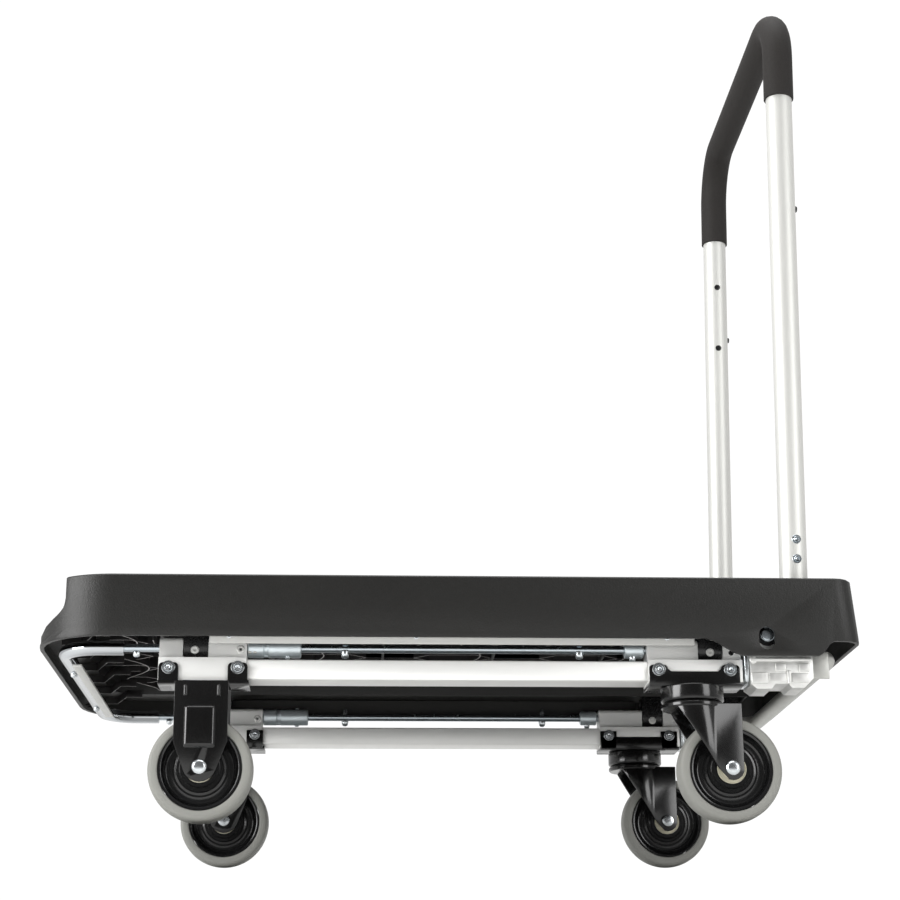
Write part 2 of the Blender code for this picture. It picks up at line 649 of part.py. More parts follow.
def make_swivel_fork(name, side, swivel, paints):
    """The turning half: a round crown whose legs sweep back to the trailing axle."""
    centre_y = side * WHEEL_Y
    profile = [(0, SWIVEL_CROWN[0]), (RING_RADIUS, SWIVEL_CROWN[0])]
    profile += [(RING_RADIUS, SWIVEL_CROWN[1] - 2), (RING_RADIUS - 2, SWIVEL_CROWN[1]), (0, SWIVEL_CROWN[1])]
    crown = turned(profile, (SWIVEL_X, centre_y, 0), (0, 0, 1), 24)
    fork = publish(f"swivel_fork_{name}", crown, paints["black_paint"], swivel)
    leg = [(SWIVEL_X - 22, SWIVEL_CROWN[1] - 1.5), (SWIVEL_X - 28, 106.0), (SWIVEL_X - 12, 84.0)]
    leg += arc(AXLE_X, WHEEL_RADIUS, SWIVEL_TIP, 212, 360, 10)
    leg += [(AXLE_X + 11.0, 108.0), (AXLE_X + 8, SWIVEL_CROWN[1] - 1.5)]
    y = sorted((side * (WHEEL_Y - FORK_OUTSIDE), side * (WHEEL_Y + FORK_OUTSIDE)))
    combine(fork, prism(leg, y[0], y[1], "y"), "UNION")
    slot = fork_slot(side, (SWIVEL_X - 50, AXLE_X + 40), (20, SWIVEL_CROWN[0]))
    combine(fork, slot, "DIFFERENCE")
    radius = KING_PIN + BORE_GAP
    profile = [(0, 90), (radius, 90), (radius, 130), (0, 130)]
    combine(fork, turned(profile, (SWIVEL_X, centre_y, 0), (0, 0, 1), 20), "DIFFERENCE")
    combine(fork, axle_guide(side, AXLE_X), "DIFFERENCE")
    make_axle(f"swivel_axle_{name}", side, AXLE_X, swivel, paints)


def make_wheel(prefix, name, side, x, spin, paints):
    """Rubber ring, dished plastic centre and a shielded bearing."""
    centre = (x, side * WHEEL_Y, WHEEL_RADIUS)
    flat = WHEEL_RADIUS / cos(pi / WHEEL_STEPS)
    half = TREAD / 2
    profile = [(39.9, -half + 1), (flat - 4, -half), (flat - 1, -half + 3), (flat, -half + 8)]
    profile += [(flat, half - 8), (flat - 1, half - 3), (flat - 4, half), (39.9, half - 1)]
    bm = turned(profile, centre, (0, 1, 0), WHEEL_STEPS)
    publish(f"{prefix}_tyre_{name}", bm, paints["tyre_rubber"], spin)
    outward = [(14.3, 16.0), (18.5, 16.0), (21.0, 9.0), (31.0, 6.5), (36.5, 14.0), (39.5, 14.0)]
    profile = outward + [(r, -t) for r, t in reversed(outward)]
    bm = turned(profile, centre, (0, 1, 0), WHEEL_STEPS)
    publish(f"{prefix}_wheel_{name}", bm, paints["black_plastic"], spin)
    inner = AXLE + BORE_GAP
    outward = [(inner, 18.4), (7.5, 18.4), (14.0, 15.5)]
    profile = outward + [(r, -t) for r, t in reversed(outward)]
    bm = turned(profile, centre, (0, 1, 0), 20)
    publish(f"{prefix}_bearing_{name}", bm, paints["bearing_shield"], spin)


def make_lock_sleeve(name, side, sleeve, paints):
    """A spring-loaded sleeve on the rod that slides back to free the beam."""
    inner = ROD + BORE_GAP
    low, high = SLEEVE_X
    profile = [(inner, low), (8.4, low), (9.2, low + 1), (9.2, low + 15), (7.6, low + 16), (7.6, low + 19)]
    profile += [(9.2, low + 20), (9.2, high - 1), (8.4, high), (inner, high)]
    bm = turned(profile, (0, side * FOLD_Y, FOLD_Z), (1, 0, 0), 16)
    publish(f"lock_sleeve_{name}", bm, paints["zinc"], sleeve)


# ---------------------------------------------------------------- handle
def handle_point(z, y):
    """A point on the leaning plane of the handle."""
    return (HANDLE_X_AT_DECK + (z - DECK_TOP) * HANDLE_LEAN, y, z)


def handle_path(low_z):
    """Centre line of the handle's U from low_z on one side to low_z on the other."""
    turn = [radians(90 * i / 6) for i in range(7)]
    corner_z = HANDLE_BAR_Z - HANDLE_BEND
    half = [handle_point(low_z, -HANDLE_Y)]
    half += [
        handle_point(corner_z + HANDLE_BEND * sin(a), -HANDLE_Y + HANDLE_BEND * (1 - cos(a))) for a in turn
    ]
    return half + [(x, -y, z) for x, y, z in reversed(half)]


def make_handle(handle, paints):
    """The U tube, its foam grip and the two feet it turns on."""
    normal = (1, 0, -HANDLE_LEAN)
    tube = swept(handle_path(HANDLE_BASE_Z), normal, HANDLE_TUBE, HANDLE_TUBE_BORE, 16)
    publish("handle_tube", tube, paints["aluminium"], handle)
    grip = swept(handle_path(GRIP_END_Z), normal, GRIP_RADIUS, HANDLE_TUBE + 0.3, 16)
    publish("handle_grip", grip, paints["grip_foam"], handle)
    for name, side in SIDES.items():
        make_handle_foot(name, side, handle, paints)


def make_handle_foot(name, side, handle, paints):
    """A black foot: pivot eye, crank arm and a collar with a spigot inside the tube."""
    low = Vector(handle_point(DECK_TOP - 26, side * HANDLE_Y))
    up = (Vector(handle_point(HANDLE_BASE_Z, side * HANDLE_Y)) - low).normalized()
    reach = (HANDLE_BASE_Z - DECK_TOP + 26) / up.z
    profile = [(0, 0), (GRIP_RADIUS - 1.5, 0), (GRIP_RADIUS, 2), (GRIP_RADIUS, reach - 1.5)]
    profile += [(GRIP_RADIUS - 1.2, reach - 0.3), (HANDLE_TUBE_BORE - 0.3, reach - 0.3)]
    profile += [(HANDLE_TUBE_BORE - 0.3, reach + 45), (0, reach + 45)]
    foot = publish(f"handle_foot_{name}", turned(profile, low, up, 24), paints["black_plastic"], handle)
    y = sorted((side * FOOT_Y[0], side * FOOT_Y[1]))
    eye = PIVOT_EYE + 1
    arm = arc(PIVOT_X, PIVOT_Z, eye, 90, 270, 10) + [(FOOT_ARM_X[1] - 8, PIVOT_Z - eye)]
    arm += [(FOOT_ARM_X[1], PIVOT_Z - eye + 8), (FOOT_ARM_X[1], 226.0), (FOOT_ARM_X[0], 226.0)]
    arm += [(FOOT_ARM_X[0], PIVOT_Z + eye)]
    combine(foot, prism(arm, y[0], y[1], "y"), "UNION")
    radius = PIVOT_PIN + BORE_GAP
    profile = [(0, 170), (radius, 170), (radius, 230), (0, 230)]
    combine(foot, turned(profile, (PIVOT_X, 0, PIVOT_Z), (0, side, 0), 20), "DIFFERENCE")


# ---------------------------------------------------------------- the cart
def make_side(name, side, paints):
    """Everything on one long side of the cart: fixed pieces, beam, casters and lock."""
    make_side_rail(name, side, paints)
    make_bracket(f"front_bracket_{name}", side, FRONT_BRACKET_X, paints)
    make_bracket(f"rear_bracket_{name}", side, REAR_BRACKET_X, paints)
    make_rod(name, side, paints)
    make_end_plate(name, side, paints)
    make_casting(name, side, paints)
    make_pivot_pin(name, side, paints)

    beam = make_joint_empty(f"beam_{name}_axis", (0, side * FOLD_Y, FOLD_Z))
    make_lower_rail(name, side, beam, paints)
    make_block(f"front_block_{name}", side, FRONT_BLOCK_X, FRONT_BRACKET_X, beam, paints)
    make_block(f"rear_block_{name}", side, REAR_BLOCK_X, REAR_BRACKET_X, beam, paints)
    make_rigid_caster(name, side, beam, paints)
    make_swivel_mount(name, side, beam, paints)

    swivel = make_joint_empty(f"swivel_{name}_axis", (SWIVEL_X, side * WHEEL_Y, SWIVEL_CROWN[1]))
    make_swivel_fork(name, side, swivel, paints)
    for prefix, x in (("rigid", RIGID_X), ("swivel", AXLE_X)):
        spin = make_joint_empty(f"{prefix}_wheel_{name}_axis", (x, side * WHEEL_Y, WHEEL_RADIUS))
        make_wheel(prefix, name, side, x, spin, paints)
    sleeve = make_joint_empty(f"sleeve_{name}_axis", (SLEEVE_X[0], side * FOLD_Y, FOLD_Z))
    make_lock_sleeve(name, side, sleeve, paints)


def main():
    """Build the whole cart."""
    clear_scene()
    paints = make_paints()
    make_deck(paints["deck_plastic"])
    make_frame_tubes(paints)
    for name, side in SIDES.items():
        make_side(name, side, paints)
    handle = make_joint_empty("handle_axis", (PIVOT_X, 0, PIVOT_Z))
    make_handle(handle, paints)


main()
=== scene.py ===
# %% [markdown]
# # Folding platform cart: looks
# The frame gives the finished design: every solid, where it sits and what it moves with. This
# lesson gives it the surfaces of the real cart. Most solids only need clean edges and a finish.
# Wheels, tubes, screws and the underside of the deck need shapes finer than the design solids, so
# they are modelled here. All lengths are metres, +X is the handle end, -Y is the near side and +Z
# is up.

# %% Load the frame
import json
from math import cos, pi, radians, sin

import bpy
from mathutils import Matrix, Vector


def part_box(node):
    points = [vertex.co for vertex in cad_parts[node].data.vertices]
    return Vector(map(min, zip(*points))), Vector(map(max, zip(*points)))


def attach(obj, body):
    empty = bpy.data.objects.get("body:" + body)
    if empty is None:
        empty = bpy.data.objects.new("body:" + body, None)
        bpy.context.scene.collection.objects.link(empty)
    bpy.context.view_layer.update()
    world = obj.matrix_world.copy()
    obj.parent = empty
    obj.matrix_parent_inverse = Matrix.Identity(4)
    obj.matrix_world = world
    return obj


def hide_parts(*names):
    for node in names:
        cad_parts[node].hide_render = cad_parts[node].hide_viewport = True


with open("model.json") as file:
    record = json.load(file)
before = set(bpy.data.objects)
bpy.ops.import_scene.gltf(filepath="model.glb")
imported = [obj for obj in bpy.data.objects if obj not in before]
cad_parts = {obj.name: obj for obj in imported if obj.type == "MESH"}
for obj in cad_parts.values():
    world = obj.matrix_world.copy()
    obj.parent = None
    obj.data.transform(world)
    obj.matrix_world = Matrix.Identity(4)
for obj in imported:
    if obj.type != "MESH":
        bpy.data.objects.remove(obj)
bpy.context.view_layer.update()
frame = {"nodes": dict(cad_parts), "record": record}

SIDES = {"near": -1, "far": 1}
AXES = {"X": Vector((1, 0, 0)), "Y": Vector((0, 1, 0)), "Z": Vector((0, 0, 1))}

# %% [markdown]
# ## Camera
# The cart is seen from a little below floor level, nearly square to its long side, with a long
# lens. A camera can be aimed by a constraint or by three angles. Angles are used here, because the
# small roll and the upward tilt can then be read straight from the numbers.

# %% Make the camera
CAMERA_PLACE = Vector((-0.0970, -2.1439, -0.2340))
CAMERA_YAW = 0.0511
CAMERA_TILT = 0.3017
CAMERA_ROLL = 0.0053
LENS = 81.34

camera_data = bpy.data.cameras.new("cart_camera")
camera = bpy.data.objects.new("cart_camera", camera_data)
bpy.context.scene.collection.objects.link(camera)
bpy.context.scene.camera = camera
camera_data.lens = LENS
camera_data.sensor_width = 36.0
ahead = Vector((sin(CAMERA_YAW) * cos(CAMERA_TILT), cos(CAMERA_YAW) * cos(CAMERA_TILT), sin(CAMERA_TILT)))
level = Vector((cos(CAMERA_YAW), -sin(CAMERA_YAW), 0))
down = ahead.cross(level)
right = level * cos(CAMERA_ROLL) + down * sin(CAMERA_ROLL)
below = down * cos(CAMERA_ROLL) - level * sin(CAMERA_ROLL)
turn_matrix = Matrix((right, -below, -ahead)).transposed()
camera.matrix_world = Matrix.Translation(CAMERA_PLACE) @ turn_matrix.to_4x4()
print("camera at", tuple(camera.location), "lens", camera_data.lens)

# %% [markdown]
# ## Light and floor
# The real cart was lit on a white sweep by large soft boxes: one above, one from each front corner,
# and enough light from below to show the underside. The camera sees a plain white world, and the
# light that this world casts grows from the near side to the far side. Area lights make the soft
# gradients on the tubes. The floor is a pale plane. It is see-through from below, so that the low
# camera can look up at the wheels, and it casts no shadow, so that the low light reaches the
# underside.

# %% World
world = bpy.data.worlds.new("white_sweep")
bpy.context.scene.world = world
world.use_nodes = True
sky = world.node_tree
backdrop = sky.nodes["Background"]
backdrop.inputs["Color"].default_value = (1, 1, 1, 1)
heading = sky.nodes.new("ShaderNodeTexCoord")
parts = sky.nodes.new("ShaderNodeSeparateXYZ")
sky.links.new(heading.outputs["Generated"], parts.inputs[0])
fill = sky.nodes.new("ShaderNodeMapRange")
fill.inputs["From Min"].default_value = -1.0
fill.inputs["From Max"].default_value = 0.35
fill.inputs["To Min"].default_value = 0.10
fill.inputs["To Max"].default_value = 0.72
sky.links.new(parts.outputs["Y"], fill.inputs["Value"])
path = sky.nodes.new("ShaderNodeLightPath")
pick = sky.nodes.new("ShaderNodeMix")
pick.inputs["B"].default_value = 1.05
sky.links.new(path.outputs["Is Camera Ray"], pick.inputs["Factor"])
sky.links.new(fill.outputs["Result"], pick.inputs["A"])
sky.links.new(pick.outputs["Result"], backdrop.inputs["Strength"])
bpy.context.scene.view_settings.view_transform = "Standard"
print("world fill:", fill.inputs["To Min"].default_value, "to", fill.inputs["To Max"].default_value)


# %% Soft boxes
def soft_box(name, place, target, size, power):
    """A rectangular light aimed at a point."""
    data = bpy.data.lights.new(name, "AREA")
    data.shape = "RECTANGLE"
    data.size, data.size_y = size
    data.energy = power
    lamp = bpy.data.objects.new(name, data)
    lamp.location = place
    lamp.rotation_euler = (Vector(target) - Vector(place)).to_track_quat("-Z", "Y").to_euler()
    bpy.context.scene.collection.objects.link(lamp)
    return lamp


MIDDLE = (0, 0, 0.25)
soft_box("top_box", (0.0, -0.3, 2.4), MIDDLE, (2.2, 1.6), 34)
soft_box("left_box", (-2.2, -1.1, 0.85), (-0.4, -0.1, 0.2), (1.4, 1.6), 58)
soft_box("right_box", (1.9, -1.9, 0.9), MIDDLE, (1.0, 1.6), 22)
soft_box("low_box", (-0.5, -2.0, -0.9), (0, 0, 0.15), (2.0, 0.8), 12)

# %% Floor
bpy.ops.object.select_all(action="DESELECT")
bpy.ops.mesh.primitive_plane_add(size=12, location=(0, 0, -0.0006))
floor = bpy.context.active_object
floor.name = "pale_floor"
floor.visible_shadow = False
pale = bpy.data.materials.new("pale_floor")
pale.use_nodes = True
nodes, links = pale.node_tree.nodes, pale.node_tree.links
paint = nodes["Principled BSDF"]
paint.inputs["Base Color"].default_value = (0.86, 0.86, 0.85, 1)
paint.inputs["Roughness"].default_value = 0.8
clear = nodes.new("ShaderNodeBsdfTransparent")
mix = nodes.new("ShaderNodeMixShader")
side_seen = nodes.new("ShaderNodeNewGeometry")
links.new(side_seen.outputs["Backfacing"], mix.inputs[0])
links.new(paint.outputs[0], mix.inputs[1])
links.new(clear.outputs[0], mix.inputs[2])
links.new(mix.outputs[0], nodes["Material Output"].inputs["Surface"])
floor.data.materials.append(pale)
print("floor added")

# %% [markdown]
# ## Finishes
# Each finish is one node material on object coordinates. Two noises do most of the work: a wide one
# shifts the colour a little from place to place, as handling and moulding do, and a fine one moves
# the roughness and the relief. A stretched mapping turns the fine noise into the drawn lines of an
# extrusion.


# %% Build a finish
def make_finish(name, light, dark, rough, metal=0.0, shine=0.5, grain=600, relief=0.15,
                stretch=(1, 1, 1), coat=0.0, blotch=9):
    """A Principled material with colour drift, grain in its roughness, and a fine bump."""
    made = bpy.data.materials.new(name)
    made.use_nodes = True
    nodes, links = made.node_tree.nodes, made.node_tree.links
    shader = nodes["Principled BSDF"]
    shader.inputs["Metallic"].default_value = metal
    shader.inputs["Specular IOR Level"].default_value = shine
    shader.inputs["Coat Weight"].default_value = coat
    shader.inputs["Coat Roughness"].default_value = 0.12
    place = nodes.new("ShaderNodeTexCoord")
    mapping = nodes.new("ShaderNodeMapping")
    mapping.inputs["Scale"].default_value = stretch
    links.new(place.outputs["Object"], mapping.inputs["Vector"])
    wide = nodes.new("ShaderNodeTexNoise")
    wide.inputs["Scale"].default_value = blotch
    wide.inputs["Detail"].default_value = 4
    links.new(place.outputs["Object"], wide.inputs["Vector"])
    fine = nodes.new("ShaderNodeTexNoise")
    fine.inputs["Scale"].default_value = grain
    fine.inputs["Detail"].default_value = 3
    links.new(mapping.outputs["Vector"], fine.inputs["Vector"])
    colour = nodes.new("ShaderNodeMix")
    colour.data_type = "RGBA"
    colour.inputs["A"].default_value = (*dark, 1)
    colour.inputs["B"].default_value = (*light, 1)
    links.new(wide.outputs["Fac"], colour.inputs["Factor"])
    links.new(colour.outputs["Result"], shader.inputs["Base Color"])
    spread = nodes.new("ShaderNodeMapRange")
    spread.inputs["To Min"].default_value = rough[0]
    spread.inputs["To Max"].default_value = rough[1]
    links.new(fine.outputs["Fac"], spread.inputs["Value"])
    links.new(spread.outputs["Result"], shader.inputs["Roughness"])
    bump = nodes.new("ShaderNodeBump")
    bump.inputs["Strength"].default_value = relief
    bump.inputs["Distance"].default_value = 0.0004
    links.new(fine.outputs["Fac"], bump.inputs["Height"])
    links.new(bump.outputs["Normal"], shader.inputs["Normal"])
    return made


FINISHES = {}


def add_finish(name, light, dark, rough, metal=0.0, **settings):
    """Keep a finish under its name."""
    FINISHES[name] = make_finish(name, light, dark, rough, metal, **settings)


add_finish("deck_plastic", (0.0120, 0.0116, 0.0104), (0.0078, 0.0075, 0.0070), (0.36, 0.50),
           shine=0.40, grain=700, relief=0.6)
add_finish("aluminium", (0.90, 0.90, 0.88), (0.87, 0.87, 0.85), (0.44, 0.58), 0.55,
           grain=900, relief=0.1, stretch=(0.02, 1, 1))
add_finish("tube", (0.72, 0.72, 0.69), (0.68, 0.68, 0.655), (0.46, 0.56), 0.6,
           grain=900, relief=0.1, stretch=(1, 1, 0.02))
add_finish("cast_aluminium", (0.86, 0.86, 0.84), (0.60, 0.60, 0.58), (0.30, 0.62), 0.8,
           grain=160, relief=1.0, blotch=60)
add_finish("dull_aluminium", (0.62, 0.62, 0.60), (0.57, 0.57, 0.55), (0.46, 0.58), 0.6,
           grain=900, relief=0.1)
add_finish("bolt_zinc", (0.82, 0.85, 0.87), (0.62, 0.66, 0.69), (0.16, 0.30), 1.0,
           grain=200, relief=0.3, blotch=120)
add_finish("zinc", (0.62, 0.68, 0.72), (0.46, 0.51, 0.55), (0.18, 0.32), 1.0,
           grain=120, relief=0.25, blotch=70)
add_finish("sleeve_zinc", (0.74, 0.80, 0.83), (0.60, 0.66, 0.69), (0.30, 0.46), 0.8,
           grain=120, relief=0.25, blotch=70)
add_finish("dull_zinc", (0.60, 0.60, 0.57), (0.44, 0.44, 0.42), (0.34, 0.50), 0.9,
           grain=300, relief=0.3, blotch=40)
add_finish("chrome", (0.56, 0.58, 0.60), (0.50, 0.52, 0.54), (0.04, 0.09), 1.0, grain=300, relief=0.03)
add_finish("black_paint", (0.0035, 0.0032, 0.0032), (0.002, 0.002, 0.002), (0.14, 0.22),
           shine=0.5, grain=260, relief=0.08, coat=0.3)
add_finish("black_plastic", (0.0075, 0.0075, 0.0078), (0.005, 0.005, 0.0052), (0.22, 0.34),
           shine=0.45, grain=800, relief=0.2)
add_finish("wheel_plastic", (0.007, 0.007, 0.0072), (0.005, 0.005, 0.0052), (0.12, 0.22),
           shine=0.65, grain=800, relief=0.1)
add_finish("grip_foam", (0.021, 0.0185, 0.017), (0.015, 0.013, 0.012), (0.62, 0.80),
           shine=0.3, grain=500, relief=0.8)
add_finish("tyre_rubber", (0.275, 0.275, 0.255), (0.245, 0.245, 0.226), (0.46, 0.62),
           shine=0.35, grain=400, relief=0.25)
add_finish("bearing_shield", (0.62, 0.59, 0.46), (0.50, 0.47, 0.36), (0.30, 0.45), 0.3,
           grain=400, relief=0.2)
add_finish("rib_plastic", (0.012, 0.011, 0.011), (0.009, 0.008, 0.008), (0.34, 0.48),
           shine=0.42, grain=700, relief=0.3)
print("finishes:", len(FINISHES))

# %% [markdown]
# The lower edges of the deck's ribs catch the light that comes up from the floor, so they read as
# thin pale lines on a dark underside. That reflection is painted into the colour. A second bevel
# could hold a second material. Asking the surface which way it faces is simpler: faces that look
# straight down get a pale colour, a painted reflection.

# %% Painted reflection on the ribs' lower edges
nodes, links = FINISHES["rib_plastic"].node_tree.nodes, FINISHES["rib_plastic"].node_tree.links
facing = nodes.new("ShaderNodeTexCoord")
facing_parts = nodes.new("ShaderNodeSeparateXYZ")
links.new(facing.outputs["Normal"], facing_parts.inputs[0])
painted_reflection_mask = nodes.new("ShaderNodeMath")
painted_reflection_mask.operation = "LESS_THAN"
painted_reflection_mask.inputs[1].default_value = -0.9
links.new(facing_parts.outputs["Z"], painted_reflection_mask.inputs[0])
# Painted reflection: faces that look straight down get a pale colour in place of the floor light they
# reflect.
painted_reflection_colour = nodes.new("ShaderNodeMix")
painted_reflection_colour.data_type = "RGBA"
painted_reflection_colour.inputs["B"].default_value = (0.50, 0.48, 0.47, 1)
shader = nodes["Principled BSDF"]
links.new(shader.inputs["Base Color"].links[0].from_socket, painted_reflection_colour.inputs["A"])
links.new(painted_reflection_mask.outputs["Value"], painted_reflection_colour.inputs["Factor"])
links.new(painted_reflection_colour.outputs["Result"], shader.inputs["Base Color"])
print("rib edges are pale")

# %% [markdown]
# ## Helpers
# Three ways of making a piece are enough. A copy of a design solid is merged, its flat faces are
# joined and its edges get a small round, which catches light as a real edge does. A turned piece
# starts as a circle that is extruded and scaled ring by ring. A tube is a curve with a round
# section, turned into a mesh.


# %% Select, ride and replace
SMOOTH_BELOW = radians(38)
SAME_PLACE = 0.00001


def only(obj):
    """Deselect everything, then select one object and make it active."""
    if bpy.context.mode != "OBJECT":
        bpy.ops.object.mode_set(mode="OBJECT")
    bpy.ops.object.select_all(action="DESELECT")
    obj.select_set(True)
    bpy.context.view_layer.objects.active = obj


def settle(obj, name, body, slot, replaced=(), finish=None):
    """Put a piece's place into its mesh, name it, paint it, and let it ride on its body."""
    only(obj)
    bpy.ops.object.transform_apply(location=True, rotation=True, scale=True)
    obj.name = name
    obj.data.name = name
    obj.data.materials.clear()
    obj.data.materials.append(FINISHES[finish or slot])
    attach(obj, body)
    if replaced:
        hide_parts(*replaced)
    return obj


def apply_modifier(obj, kind, **settings):
    """Add a modifier, set it and apply it."""
    only(obj)
    modifier = obj.modifiers.new(kind.lower(), kind)
    for key, value in settings.items():
        setattr(modifier, key, value)
    bpy.ops.object.modifier_apply(modifier=modifier.name)


def round_edges(obj, width, angle=35, segments=2):
    """Round the sharp edges and shade the rest smooth."""
    limit = radians(angle)
    apply_modifier(obj, "BEVEL", width=width, segments=segments, limit_method="ANGLE", angle_limit=limit)
    only(obj)
    bpy.ops.object.shade_smooth_by_angle(angle=SMOOTH_BELOW)


NODE_BODY = {n: body for body, members in frame["record"]["behaviour"]["bodies"].items() for n in members}
NODE_SLOT = {s["node"]: s["material_slot"] for s in frame["record"]["subparts"]}


def refine(node, width=0.0006, finish=None):
    """A clean-edged copy of a design solid that stands for it."""
    piece = bpy.data.objects.new(node + "_shape", frame["nodes"][node].data.copy())
    bpy.context.scene.collection.objects.link(piece)
    only(piece)
    bpy.ops.object.mode_set(mode="EDIT")
    bpy.ops.mesh.select_all(action="SELECT")
    bpy.ops.mesh.remove_doubles(threshold=SAME_PLACE)
    bpy.ops.mesh.dissolve_limited(angle_limit=radians(1))
    bpy.ops.object.mode_set(mode="OBJECT")
    round_edges(piece, width)
    return settle(piece, node + "_shape", NODE_BODY[node], NODE_SLOT[node], (node,), finish)


# %% Turn a profile
def turn_profile(profile, centre, axis="Z", steps=64, ring=False, sign=1):
    """Extrude and scale a circle through (radius, height) rings; ring=True joins last to first."""
    direction = AXES[axis] * sign
    centre = Vector(centre)
    tilt = {"X": (0, pi / 2, 0), "Y": (pi / 2, 0, 0), "Z": (0, 0, 0)}[axis]
    radius, height = profile[0]
    bpy.ops.object.select_all(action="DESELECT")
    place = centre + direction * height
    bpy.ops.mesh.primitive_circle_add(vertices=steps, radius=radius, location=place, rotation=tilt)
    obj = bpy.context.active_object
    bpy.ops.object.mode_set(mode="EDIT")
    bpy.ops.mesh.select_all(action="SELECT")
    for next_radius, next_height in profile[1:]:
        step = direction * (next_height - height)
        bpy.ops.mesh.extrude_edges_move(TRANSFORM_OT_translate={"value": step})
        factor = next_radius / radius
        grow = [1 if AXES[axis][i] else factor for i in range(3)]
        bpy.ops.transform.resize(value=grow, center_override=centre + direction * next_height)
        radius, height = next_radius, next_height
    if not ring:
        bpy.ops.mesh.edge_face_add()
    bpy.ops.object.mode_set(mode="OBJECT")
    count = len(obj.data.vertices)
    for vertex in obj.data.vertices:
        vertex.select = vertex.index < steps or (ring and vertex.index >= count - steps)
    for edge in obj.data.edges:
        edge.select = all(obj.data.vertices[v].select for v in edge.vertices)
    bpy.ops.object.mode_set(mode="EDIT")
    if ring:
        bpy.ops.mesh.bridge_edge_loops()
    else:
        bpy.ops.mesh.edge_face_add()
    bpy.ops.mesh.select_all(action="SELECT")
    bpy.ops.mesh.normals_make_consistent(inside=False)
    bpy.ops.object.mode_set(mode="OBJECT")
    only(obj)
    bpy.ops.object.shade_smooth_by_angle(angle=SMOOTH_BELOW)
    return obj


# %% Bend a tube
def bend_tube(points, radius, detail=6):
    """A solid round bar along a smooth list of points."""
    curve = bpy.data.curves.new("tube_path", "CURVE")
    curve.dimensions = "3D"
    spline = curve.splines.new("POLY")
    spline.points.add(len(points) - 1)
    for knot, point in zip(spline.points, points):
        knot.co = (*point, 1)
    curve.bevel_depth = radius
    curve.bevel_resolution = detail
    curve.use_fill_caps = True
    obj = bpy.data.objects.new("tube", curve)
    bpy.context.scene.collection.objects.link(obj)
    only(obj)
    bpy.ops.object.convert(target="MESH")
    obj = bpy.context.active_object
    bpy.ops.object.mode_set(mode="EDIT")
    bpy.ops.mesh.select_all(action="SELECT")
    bpy.ops.mesh.remove_doubles(threshold=SAME_PLACE)
    bpy.ops.mesh.normals_make_consistent(inside=False)
    bpy.ops.object.mode_set(mode="OBJECT")
    bpy.ops.object.shade_smooth_by_angle(angle=SMOOTH_BELOW)
    return obj

# %% [markdown]
# ## Solids whose shape is already right
# Extrusions, blocks, plates, castings and forks only need clean edges and a finish, so they go
# through one loop.

# %% Refine the plain solids
MODELLED_HERE = (
    "tyre", "wheel", "bearing", "handle_tube", "handle_grip", "frame_tube", "hinge_rod", "swivel_fork",
)
SOFT_EDGES = {"deck": 0.0012, "handle_casting": 0.0018, "front_block": 0.0004, "rear_block": 0.0004}
OTHER_FINISH = {
    "lock_sleeve": "sleeve_zinc", "side_rail": "dull_aluminium", "front_flat_bar": "dull_aluminium",
    "end_plate": "bolt_zinc", "rod_collar": "sleeve_zinc", "rigid_axle": "bolt_zinc",
    "swivel_axle": "bolt_zinc",
}
refined = 0
for node in sorted(frame["nodes"]):
    if any(word in node for word in MODELLED_HERE):
        continue
    width = next((w for word, w in SOFT_EDGES.items() if node.startswith(word)), 0.0006)
    special = next((made for word, made in OTHER_FINISH.items() if node.startswith(word)), None)
    refine(node, width, special)
    refined += 1
print("refined:", refined)

# %% [markdown]
# ## Wheels
# Each wheel is a grey rubber ring on a dished black centre, with a shielded bearing in its hub. All
# three are turned shapes, so each is drawn as one profile and carried round the axle.

# %% Turn the wheels
TYRE_SIDE = [
    (0.0399, 0.0148), (0.0404, 0.0156), (0.0412, 0.0160), (0.0462, 0.0158), (0.0478, 0.0150),
    (0.0489, 0.0130), (0.0495, 0.0095), (0.0499, 0.0045),
]
CENTRE_SIDE = [
    (0.0143, 0.0158), (0.0178, 0.0158), (0.0184, 0.0150), (0.0188, 0.0118), (0.0196, 0.0108),
    (0.0216, 0.0108), (0.0222, 0.0100), (0.0226, 0.0082), (0.0248, 0.0074), (0.0252, 0.0080),
    (0.0262, 0.0080), (0.0266, 0.0072), (0.0305, 0.0064), (0.0330, 0.0072), (0.0350, 0.0098),
    (0.0360, 0.0130), (0.0366, 0.0146), (0.0378, 0.0152), (0.0395, 0.0152),
]
BEARING_SIDE = [
    (0.0044, 0.0182), (0.0072, 0.0182), (0.0078, 0.0164), (0.0098, 0.0154), (0.0104, 0.0160),
    (0.0128, 0.0160), (0.0134, 0.0166), (0.0139, 0.0164),
]


def both_faces(side):
    """A closed ring profile from its outer half."""
    return side + [(r, -h) for r, h in reversed(side)]


WHEEL_PARTS = (("tyre", TYRE_SIDE, 96), ("wheel", CENTRE_SIDE, 96), ("bearing", BEARING_SIDE, 48))
for part, side_profile, steps in WHEEL_PARTS:
    for kind in ("rigid", "swivel"):
        for name in SIDES:
            node = f"{kind}_{part}_{name}"
            low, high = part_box(node)
            made = turn_profile(both_faces(side_profile), (low + high) / 2, "Y", steps, ring=True)
            special = "wheel_plastic" if part == "wheel" else None
            settle(made, node + "_turned", NODE_BODY[node], NODE_SLOT[node], (node,), special)
print("wheels turned")

# %% [markdown]
# ## Handle
# The handle is one drawn tube bent into a U, with a foam sleeve over its bends and top bar. The
# centre line has straight legs and two quarter bends, and leans away from the deck by about one and
# a half degrees.

# %% Centre line of the handle
HANDLE_X = 0.343
HANDLE_Y = 0.198
HANDLE_LEAN = 0.0252
DECK_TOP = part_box("deck")[1].z
BAR_Z = 0.875
BEND = 0.058
TUBE_LOW, TUBE_RADIUS = 0.2391, 0.0139
GRIP_LOW, GRIP_RADIUS = 0.768, 0.0159


def on_handle(z, y):
    """The point of the handle's leaning plane at a height."""
    return (HANDLE_X + (z - DECK_TOP) * HANDLE_LEAN, y, z)


